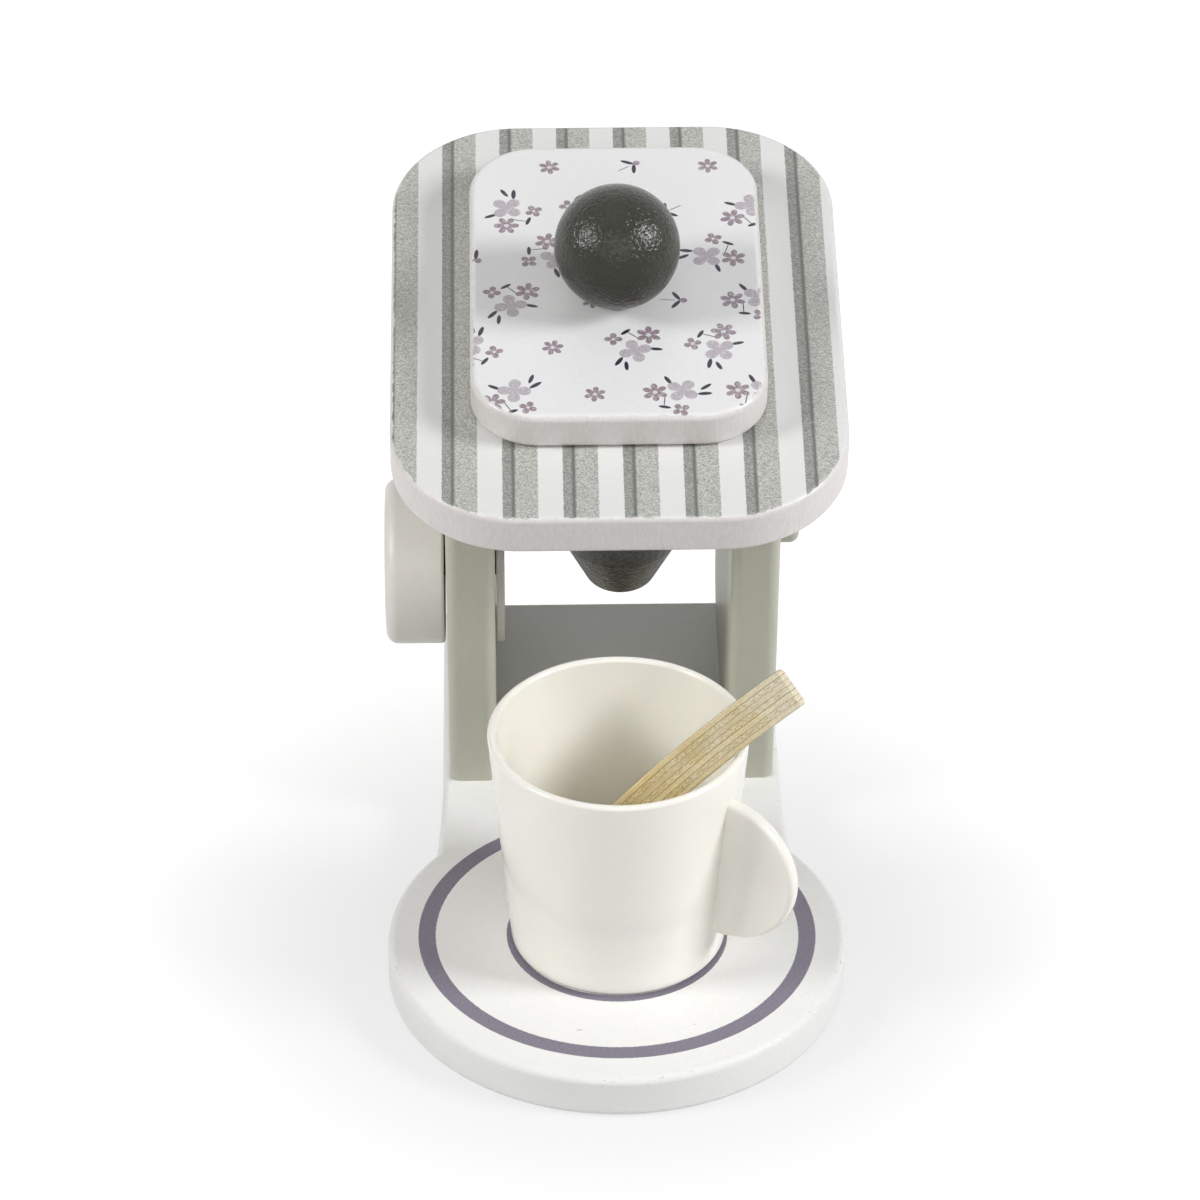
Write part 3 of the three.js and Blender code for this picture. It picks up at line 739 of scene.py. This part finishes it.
def flower_print():
    """Posies, single flowers and sprigs, one to a cell, each turned its own way."""
    tree, ins, outs = new_group("small flower print", [
        ("Pitch", "Float", 20.0), ("Motif Size", "Float", 1.0),
        ("Ground", "Color", (1, 1, 1, 1)), ("Petal", "Color", (1, 1, 1, 1)),
        ("Pale Petal", "Color", (1, 1, 1, 1)), ("Leaf", "Color", (0, 0, 0, 1)),
    ], [("Color", "Color")])
    where = spot_on(tree)
    spot = wire(tree, "SeparateXYZ", {0: where})
    pitch = times(tree, ins.outputs["Pitch"], mm)
    row_pitch = times(tree, pitch, row_pitch_share)
    column = calc(tree, "ADD", calc(tree, "DIVIDE", spot.outputs[0], pitch), 0.3)
    row = calc(tree, "DIVIDE", spot.outputs[1], row_pitch)
    row_number = calc(tree, "FLOOR", row)
    column = calc(tree, "ADD", column, times(tree, row_number, 0.5))
    column_number = calc(tree, "FLOOR", column)
    cell = wire(tree, "CombineXYZ", {0: column_number, 1: row_number}).outputs[0]
    lot = wire(tree, "TexWhiteNoise", {"Vector": cell}).outputs["Color"]
    lot = wire(tree, "SeparateColor", {0: lot})
    across = calc(tree, "SUBTRACT", calc(tree, "SUBTRACT", column, column_number), 0.5)
    up = calc(tree, "SUBTRACT", calc(tree, "SUBTRACT", row, row_number), 0.5)
    across = times(tree, across, pitch)
    up = times(tree, up, row_pitch)
    across, up = (calc(tree, "DIVIDE", part, ins.outputs["Motif Size"]) for part in (across, up))
    local = wire(tree, "CombineXYZ", {0: across, 1: up}).outputs[0]
    turn = times(tree, lot.outputs[0], math.tau)
    local = wire(tree, "VectorRotate", {"Vector": local, "Angle": turn},
                 rotation_type="Z_AXIS").outputs[0]

    def beside(x, y):
        """The spot as seen from a point of the motif."""
        return wire(tree, "VectorMath", {0: local, 1: (x * mm, y * mm, 0)},
                    operation="SUBTRACT").outputs[0]

    def blossom(x, y, petals, size, spin):
        """A round of petals, and the small heart in its middle."""
        away = beside(x, y)
        part = wire(tree, "SeparateXYZ", {0: away})
        reach = how_far(tree, away)
        angle = calc(tree, "ARCTAN2", part.outputs[1], part.outputs[0])
        lobes = calc(tree, "COSINE", calc(tree, "MULTIPLY_ADD", angle, petals / 2, spin))
        lobes = calc(tree, "ABSOLUTE", lobes)
        lobes = calc(tree, "POWER", lobes, 0.6)
        rim = calc(tree, "MULTIPLY_ADD", lobes, size * 0.78 * mm, size * 0.22 * mm)
        petal = step(tree, calc(tree, "SUBTRACT", rim, reach), 0.0, 0.00007)
        heart = until(tree, reach, size * 0.2 * mm, 0.00008)
        return times(tree, petal, calc(tree, "SUBTRACT", 1.0, heart)), heart

    def leaf(x, y, half_long, half_broad, angle):
        """A leaf as a long oval."""
        turned_away = wire(tree, "VectorRotate", {"Vector": beside(x, y), "Angle": -angle},
                           rotation_type="Z_AXIS").outputs[0]
        oval = (1 / (half_long * mm), 1 / (half_broad * mm), 1)
        scaled = wire(tree, "VectorMath", {0: turned_away, 1: oval}, operation="MULTIPLY")
        return until(tree, how_far(tree, scaled.outputs[0]), 1.0, 0.1)

    def any_of(*parts):
        """Wherever one of the parts is."""
        whole = parts[0]
        for part in parts[1:]:
            whole = calc(tree, "MAXIMUM", whole, part)
        return whole

    wash = noise(tree, where, scale=1500.0, detail=3.0, rough=0.7)
    broad = noise(tree, where, scale=420.0, detail=1.0)
    tint = calc(tree, "MULTIPLY_ADD", step(tree, wash, 0.42, 0.14), 0.5, 0.35)
    tint = calc(tree, "MULTIPLY_ADD", broad, 0.3, tint, clamp=True)
    posy = step(tree, lot.outputs[1], 0.42, 0.01)
    single = calc(tree, "SUBTRACT", step(tree, lot.outputs[1], 0.15, 0.01), posy)
    sprig = calc(tree, "SUBTRACT", 1.0, any_of(posy, single))
    big, big_heart = blossom(0.6, 1.2, petals=4, size=3.5, spin=0.4)
    middle, middle_heart = blossom(-4.4, -1.6, petals=6, size=2.7, spin=0.0)
    small, small_heart = blossom(2.6, -4.3, petals=4, size=1.9, spin=1.1)
    lone, lone_heart = blossom(0, 0, petals=6, size=2.3, spin=0.5)
    posy_leaves = any_of(
        leaf(5.2, 2.2, half_long=1.5, half_broad=0.48, angle=0.5),
        leaf(4.6, 4.2, half_long=1.4, half_broad=0.44, angle=1.1),
        leaf(-3.4, 2.9, half_long=1.4, half_broad=0.44, angle=2.5),
        leaf(-0.8, -4.9, half_long=1.3, half_broad=0.42, angle=0.2),
        leaf(-1.6, -3.1, half_long=2.0, half_broad=0.11, angle=1.9),
    )
    sprig_leaves = any_of(
        leaf(-1.3, 0.5, half_long=1.5, half_broad=0.46, angle=0.6),
        leaf(1.3, 0.5, half_long=1.5, half_broad=0.46, angle=-0.6),
        leaf(0, -1.3, half_long=0.1, half_broad=1.7, angle=0.0),
    )
    berry = leaf(0, 2.1, half_long=0.75, half_broad=0.75, angle=0.0)
    leaves = any_of(times(tree, posy_leaves, posy), times(tree, sprig_leaves, sprig))
    colour = blend(tree, leaves, ins.outputs["Ground"], ins.outputs["Leaf"])
    pale = times(tree, times(tree, big, posy), tint)
    colour = blend(tree, pale, colour, ins.outputs["Pale Petal"])
    deep = any_of(times(tree, any_of(middle, small), posy), times(tree, lone, single),
                  times(tree, berry, sprig))
    colour = blend(tree, times(tree, deep, tint), colour, ins.outputs["Petal"])
    hearts = any_of(times(tree, any_of(middle_heart, small_heart), posy),
                    times(tree, lone_heart, single))
    colour = blend(tree, times(tree, hearts, 0.35), colour, ins.outputs["Pale Petal"])
    heart = times(tree, times(tree, big_heart, posy), 0.6)
    colour = blend(tree, heart, colour, ins.outputs["Petal"])
    tree.links.new(colour, outs.inputs["Color"])
    return tree


tree = blank("flower print")
flowers = use_group(tree, flower_print(), {
    "Pitch": flower_pitch, "Motif Size": motif_size, "Ground": (0.835, 0.835, 0.838, 1),
    "Petal": (0.27, 0.195, 0.235, 1), "Pale Petal": (0.46, 0.415, 0.455, 1),
    "Leaf": (0.028, 0.02, 0.042, 1),
})
edged = use_group(tree, edge_group, {"Print": flowers.outputs[0], "Face Height": lid_thick * mm})
coat = use_group(tree, paint_group, {"Paint": edged.outputs[0], "Shadow": edged.outputs[0],
                                     "Pebble Depth": 0.3, "Gloss": 0.34, "Dents": 0.2})
lid_print = new_finish("flower print", *coat.outputs, Coat_Weight=0.15, Coat_Roughness=0.2)
lid = eased_board("lid_panel", rounded_board(lid_width, lid_length, lid_corner), lid_thick,
                  lid_ease, leaning @ moved(head_shift, lid_middle, lid_bottom))
drill(lid, [bore(knob_dowel + gap, lid_bottom + wood_past_dowel - gap, lid_top + overrun,
                 leaning @ moved(head_shift, knob_place, 0))])
finish_piece(lid, lid_print, "lid", "lid_print", "lid_board")


# Lid knob: a ball turned with a short foot, sprayed dark olive grey with a semi-gloss skin, and
# glued on the lid over a dowel.

knob_radius = 15.8
knob_rise = 16.3
knob_foot = 5.6
knob_dowel_up = 11


def dark_spray(name, tone, deep, gloss):
    """Semi-gloss spray paint with the pebbled skin that shows in its highlights."""
    tree = blank(name)
    coat = use_group(tree, paint_group, {"Paint": (*tone, 1), "Shadow": (*deep, 1), "Clouding": 0.6,
                                         "Pebble Depth": 0.35, "Gloss": gloss, "Dents": 0.1})
    skin = noise(tree, spot_on(tree), scale=880.0, detail=2.5, distortion=0.6)
    bump = wire(tree, "Bump", {"Strength": 1.0, "Distance": 0.00037, "Height": skin,
                               "Normal": coat.outputs["Normal"]})
    return new_finish(name, coat.outputs["Color"], coat.outputs["Roughness"], bump.outputs[0],
                      IOR=1.42)


start = math.asin(knob_foot / knob_radius) - math.pi / 2
ball = arc(0, knob_rise, knob_radius, start, math.pi / 2)[:-1]
socket_wall, socket_end = knob_dowel + gap, knob_dowel_up + gap
knob = turned("ball_knob", [(0, socket_end), (socket_wall, socket_end), (socket_wall, 0),
                            (knob_foot, 0), *ball, (0, knob_rise + knob_radius)],
              leaning @ moved(head_shift, knob_place, lid_top + gap))
knob_paint = dark_spray("dark knob paint", tone=(0.0265, 0.026, 0.0165),
                        deep=(0.021, 0.0205, 0.0125), gloss=0.12)
finish_piece(knob, knob_paint, "lid", "knob_paint", "lid_knob")


# Filter cone: turned from wood with a straight collar, and sprayed like the knob. It is glued
# under the head board over a dowel and points down at the cup.

cone_top = 15.4
cone_barrel = 8
cone_length = 23.1
cone_tip = 9.1
cone_round = 1
cone_dowel_down = 11
cone_turn = math.atan2(cone_top - cone_tip, cone_length - cone_barrel)
tip = arc(cone_tip - cone_round, cone_round - cone_length, cone_round, -math.pi / 2, -cone_turn)
socket_wall, socket_end = dowel_radius + gap, -cone_dowel_down - gap
cone = turned("filter_funnel", [(0, -cone_length), *tip, (cone_top, -cone_barrel),
                                (cone_top, -cone_round), (cone_top - cone_round, 0),
                                (socket_wall, 0), (socket_wall, socket_end), (0, socket_end)],
              leaning @ moved(head_shift, cone_place, head_bottom - gap))
cone_paint = dark_spray("dark cone paint", tone=(0.0265, 0.0262, 0.02),
                        deep=(0.021, 0.0207, 0.0155), gloss=0.2)
finish_piece(cone, cone_paint, "machine", "cone_paint", "filter_cone")


# Dial: a thick turned disc, painted warm white, glued to an axle that runs through the left
# upright. A thin disc on the inside keeps it from pulling out.

dial_radius = 22.5
dial_thick = 16
dial_round = 3.4
dial_stand_off = 0.9
axle_in_dial = 10
retainer_radius = 22.3
retainer_thick = 2.3
retainer_ease = 0.5
back_ease = 1


def knob_disc(name, radius, thick, ease, hole, depth, place):
    """A disc with a blind hole in its back and a rounded front edge."""
    back = arc(radius - back_ease, back_ease, back_ease, -math.pi / 2, 0)
    front = arc(radius - ease, thick - ease, ease, 0, math.pi / 2)
    return turned(name, [(0, depth), (hole, depth), (hole, 0), *back, *front, (0, thick)], place)


tree = blank("warm white paint")
coat = use_group(tree, paint_group, {"Paint": (0.79, 0.762, 0.722, 1),
                                     "Shadow": (0.735, 0.708, 0.665, 1), "Clouding": 0.6,
                                     "Pebble Depth": 0.25, "Gloss": 0.36, "Dents": 0.3})
dial_paint = new_finish("warm white paint", *coat.outputs, Coat_Weight=0.12, Coat_Roughness=0.25)
to_left = Matrix.Rotation(math.radians(-90), 4, "Y")
to_right = Matrix.Rotation(math.radians(90), 4, "Y")
dial = knob_disc("dial_wheel", dial_radius, dial_thick, dial_round, dowel_radius + gap,
                 axle_in_dial + gap,
                 leaning @ moved(-upright_outer - dial_stand_off, axis_place, dial_rise) @ to_left)
finish_piece(dial, dial_paint, "dial", "dial_paint", "dial_disc")
hole, ring = dowel_radius + gap, retainer_radius - retainer_ease
retainer = turned("dial_backing", [
    (hole, 0), *arc(ring, retainer_ease, retainer_ease, -math.pi / 2, 0),
    *arc(ring, retainer_thick - retainer_ease, retainer_ease, 0, math.pi / 2),
    (hole, retainer_thick), (hole, 0),
], leaning @ moved(-upright_inner + gap + retainer_thick, axis_place, dial_rise) @ to_left)
finish_piece(retainer, dial_paint, "dial", "dial_paint", "dial_retainer")


# Side button: a small wooden knob turned with a rounded front and painted sage like the uprights.
# It is glued on the outside of the right one over a dowel.

button_radius = 9
button_thick = 7
button_round = 2.6
button_dowel_out = 4
button = knob_disc("button_cap", button_radius, button_thick, button_round, button_dowel + gap,
                   button_dowel_out + gap,
                   leaning @ moved(upright_outer + gap, axis_place, button_rise) @ to_right)
finish_piece(button, sage_paint, "machine", "button_paint", "side_button")


# Cup: ivory plastic moulded in one piece, with a rounded lip and a half-round fin for a handle.
# It stands loose on the base.

cup_place = moved(0.3, 1.8, base_thick)
cup_height = 64.8
cup_rim = 33.6
cup_base = 28
cup_wall = 2.2
cup_floor = 3
cup_foot = 1.4
cup_heel = 2.8
heel_rise = 3
heel_run = 2.6
lip_depth = 0.5
fin_radius = 21.4
fin_rise = 32.8
fin_thick = 4
fin_ease = 1.4
fin_sink = 0.4
fin_root = 1.2
fin_turn = math.radians(-30)


def cup_radius(height):
    """The outside of the cup's wall."""
    return cup_base + (cup_rim - cup_base) * height / cup_height


def make_cup():
    """The turned wall with its foot, floor and lip, and the fin that is moulded on it."""
    lip = cup_wall / 2
    outside = turned("cup_body", [
        (0, gap), *arc(cup_base - cup_foot, cup_foot + gap, cup_foot, -math.pi / 2, 0),
        *arc(cup_rim - lip, cup_height - lip, lip, 0, math.pi)[1:],
        (cup_radius(cup_floor + heel_rise) - cup_wall, cup_floor + heel_rise),
        *arc(cup_radius(cup_floor) - cup_wall - heel_run, cup_floor + cup_heel, cup_heel,
             0, -math.pi / 2)[1:],
        (0, cup_floor),
    ], cup_place, sides=192)
    disc = arc(0, 0, fin_radius, 0, 2 * math.pi, math.radians(2))[:-1]
    fin_place = (cup_place @ Matrix.Rotation(fin_turn, 4, "Z")
                 @ moved(cup_radius(fin_rise) - fin_sink, fin_thick / 2, fin_rise)
                 @ Matrix.Rotation(math.radians(90), 4, "X"))
    fin = eased_board("cup_fin", disc, fin_thick, fin_ease, fin_place)
    low, high = cup_base - fin_root, cup_rim - fin_root
    inside = turned("cup inside", [(0, -overrun), (low, -overrun), (low, 2 * gap),
                                   (high, cup_height - lip_depth),
                                   (high, cup_height + fin_radius),
                                   (0, cup_height + fin_radius)], cup_place, sides=192)
    drill(fin, [inside])
    drill(outside, [fin], "UNION")
    return outside


tree = blank("ivory plastic")
where = spot_on(tree)
haze = noise(tree, where, scale=30.0, detail=1.0)
colour = blend(tree, haze, (0.962, 0.937, 0.86), (0.972, 0.951, 0.88))
flow = noise(tree, where, scale=130.0, detail=1.0)
rough = calc(tree, "MULTIPLY_ADD", flow, 0.06, 0.1)
skin = wire(tree, "Bump", {"Strength": 0.05, "Distance": 0.0002, "Height": flow})
cup_plastic = new_finish("ivory plastic", colour, rough, skin.outputs[0], Subsurface_Weight=0.3,
                         Subsurface_Radius=(1.0, 0.8, 0.5), Subsurface_Scale=0.002, IOR=1.48)
finish_piece(make_cup(), cup_plastic, "cup", "cup_plastic", "cup")


# Stirrer: a gently curved stick cut across laminated beech, so that the layers and their brown
# glue lines run along its flat side. It stands in the cup and leans on the lip.

stick_length = 104.8
stick_breadth = 10.8
stick_thick = 2.8
foot_slope = math.radians(58)
end_slope = math.radians(47.5)
stick_turn = math.radians(-29.5)
stick_tip = math.radians(11.9)
stick_forward = 9.4
stick_corner = 1.2
stick_ease = 0.6
stick_steps = 40
stick_radius = stick_length / (foot_slope - end_slope)


def stick_centre():
    """Where the stick's curve has its centre, in the stick's own plane."""
    near = stick_radius - stick_breadth / 2
    half = stick_thick / 2
    lip = cup_wall / 2
    lip_x, lip_z = cup_rim - lip, cup_height - lip
    contacts = []
    for face in (half, -half):
        off = lip_z * math.tan(stick_tip) + face / math.cos(stick_tip) - stick_forward
        contacts.append(math.sqrt(lip_x ** 2 - off ** 2))
    floor_y = (cup_floor + gap + half * math.sin(stick_tip)) / math.cos(stick_tip)
    centre_y = floor_y - near * math.cos(foot_slope)
    rise = lip_z / math.cos(stick_tip) - centre_y
    return min(contacts) + math.sqrt((near - lip - gap) ** 2 - rise ** 2), centre_y


def make_stick():
    """The curved stick, standing in the cup on its foot and leaning on the lip."""
    near, far = stick_radius - stick_breadth / 2, stick_radius + stick_breadth / 2
    slopes = [foot_slope + (end_slope - foot_slope) * i / stick_steps
              for i in range(stick_steps + 1)]
    lower, upper = ([(-reach * math.sin(a), reach * math.cos(a),
                      stick_corner if i in (0, stick_steps) else 0)
                     for i, a in enumerate(slopes)] for reach in (near, far))
    centre_x, centre_y = stick_centre()
    place = (cup_place @ Matrix.Rotation(stick_turn, 4, "Z") @ moved(0, -stick_forward, 0)
             @ Matrix.Rotation(math.pi / 2 - stick_tip, 4, "X")
             @ moved(centre_x, centre_y, -stick_thick / 2))
    outline = rounded_outline(lower + upper[::-1])
    return eased_board("plywood_stirrer", outline, stick_thick, stick_ease, place, rounds=4)


ply_count = 7
end_angle = math.pi / 2 + end_slope
bleached_reach = math.radians(5)
tree = blank("laminated beech")
where = spot_on(tree)
spot = wire(tree, "SeparateXYZ", {0: where})
flat = wire(tree, "CombineXYZ", {0: spot.outputs[0], 1: spot.outputs[1]})
angle = calc(tree, "ARCTAN2", spot.outputs[1], spot.outputs[0])
waver = noise(tree, where, scale=120.0)
reach = calc(tree, "MULTIPLY_ADD", calc(tree, "SUBTRACT", waver, 0.5), 0.0004,
             how_far(tree, flat.outputs[0]))
ply = calc(tree, "DIVIDE", calc(tree, "SUBTRACT", reach, (stick_radius - stick_breadth / 2) * mm),
           stick_breadth * mm / ply_count)
ply_number = calc(tree, "FLOOR", ply)
within = calc(tree, "SUBTRACT", ply, ply_number)
glue = step(tree, calc(tree, "ABSOLUTE", calc(tree, "SUBTRACT", within, 0.5)), 0.446, 0.03)
along = wire(tree, "CombineXYZ", {0: times(tree, angle, 60.0),
                                  1: times(tree, reach, 2600.0), 2: ply_number})
fibre = noise(tree, along.outputs[0], scale=1.0, detail=4.0)
short = wire(tree, "CombineXYZ", {0: times(tree, angle, 640.0),
                                  1: times(tree, reach, 3300.0),
                                  2: calc(tree, "MULTIPLY_ADD", spot.outputs[2], 2700.0,
                                          ply_number)})
pore = noise(tree, short.outputs[0], scale=1.0, detail=3.0, rough=0.7)
worn = noise(tree, where, scale=90.0, detail=1.0)
odd = calc(tree, "FLOORED_MODULO", ply_number, 2.0)
grit = step(tree, pore, 0.5, 0.12)
smooth_ply = blend(tree, fibre, (0.53, 0.37, 0.135), (0.81, 0.68, 0.34))
smooth_ply = blend(tree, times(tree, grit, 0.3), smooth_ply, (0.86, 0.78, 0.5))
speckled_ply = blend(tree, grit, (0.53, 0.385, 0.15), (0.79, 0.66, 0.36))
colour = blend(tree, odd, smooth_ply, speckled_ply)
lot = wire(tree, "TexWhiteNoise", {"W": ply_number}, noise_dimensions="1D").outputs["Value"]
tone = grey(tree, calc(tree, "MULTIPLY_ADD", lot, 0.16, 0.92))
colour = blend(tree, 1.0, colour, tone, "MULTIPLY")
free_end = wire(tree, "MapRange", {
    "Value": angle, "From Min": end_angle + bleached_reach, "From Max": end_angle, "To Max": 0.75,
}).outputs[0]
bleached = calc(tree, "MULTIPLY_ADD", step(tree, worn, 0.5, 0.1), 0.35, free_end)
bleached = times(tree, bleached, calc(tree, "MULTIPLY_ADD", grit, 0.6, 0.25), clamp=True)
colour = blend(tree, bleached, colour, (0.87, 0.83, 0.71))
broken = times(tree, calc(tree, "MULTIPLY_ADD", pore, 1.1, 0.1), calc(tree, "ADD", lot, 0.45),
               clamp=True)
colour = blend(tree, times(tree, glue, broken), colour, (0.19, 0.115, 0.045))
rough = calc(tree, "MULTIPLY_ADD", pore, 0.15, 0.5)
grain_bump = wire(tree, "Bump", {"Strength": 0.3, "Distance": 0.0001,
                                 "Height": calc(tree, "SUBTRACT", pore, glue)})
ply_finish = new_finish("laminated beech", colour, rough, grain_bump.outputs[0])
stick = make_stick()
finish_piece(stick, ply_finish, "stirrer", "stirrer_wood", "stirrer")


# Dowels, the dial's axle and the lid's plug: turned from bare beech with chamfered ends and
# glued into their bores. They keep their solids and get the finish of bare wood.


def beech(name, grain_axis):
    """Bare beech with its fine grain along one axis and short brown flecks."""
    tree = blank(name)
    scale = [90.0 if axis == grain_axis else 1600.0 for axis in "XYZ"]
    drawn = stretched(tree, spot_on(tree), scale)
    grain = noise(tree, drawn, scale=1.0, detail=4.0)
    fleck = wire(tree, "TexVoronoi", {"Vector": drawn, "Scale": 1.3}).outputs["Distance"]
    colour = blend(tree, grain, (0.5, 0.35, 0.19), (0.72, 0.56, 0.36))
    flecks = times(tree, until(tree, fleck, 0.12, 0.06), 0.5)
    colour = blend(tree, flecks, colour, (0.33, 0.19, 0.09))
    rough = calc(tree, "MULTIPLY_ADD", grain, 0.2, 0.5)
    bump = wire(tree, "Bump", {"Strength": 0.25, "Distance": 0.0001, "Height": grain})
    return new_finish(name, colour, rough, bump.outputs[0])


upright_beech = beech("beech, grain up", "Z")
crosswise_beech = beech("beech, grain across", "X")


def refinish(name, material):
    """A new finish on a solid that keeps its form."""
    data = nodes[name].data
    data.materials.clear()
    data.materials.append(material)


for name in ("head_dowel_left_front", "head_dowel_left_rear", "head_dowel_right_front",
             "head_dowel_right_rear", "cone_dowel", "knob_dowel", "lid_plug"):
    refinish(name, upright_beech)
for name in ("dial_axle", "button_dowel"):
    refinish(name, crosswise_beech)


# Base screws: countersunk wood screws of zinc-plated steel, driven up through the base into the
# uprights and seen only from below. They keep their solids.

tree = blank("zinc plate")
mark = noise(tree, stretched(tree, spot_on(tree), (300.0, 300.0, 4000.0)), scale=1.0, detail=3.0)
colour = blend(tree, mark, (0.5, 0.5, 0.49), (0.64, 0.635, 0.62))
rough = calc(tree, "MULTIPLY_ADD", mark, 0.2, 0.25)
ripple = wire(tree, "Bump", {"Strength": 0.2, "Distance": 0.0001, "Height": mark})
zinc = new_finish("zinc plate", colour, rough, ripple.outputs[0], Metallic=1.0)
for side in ("left", "right"):
    for end in ("front", "rear"):
        refinish(f"base_screw_{side}_{end}", zinc)
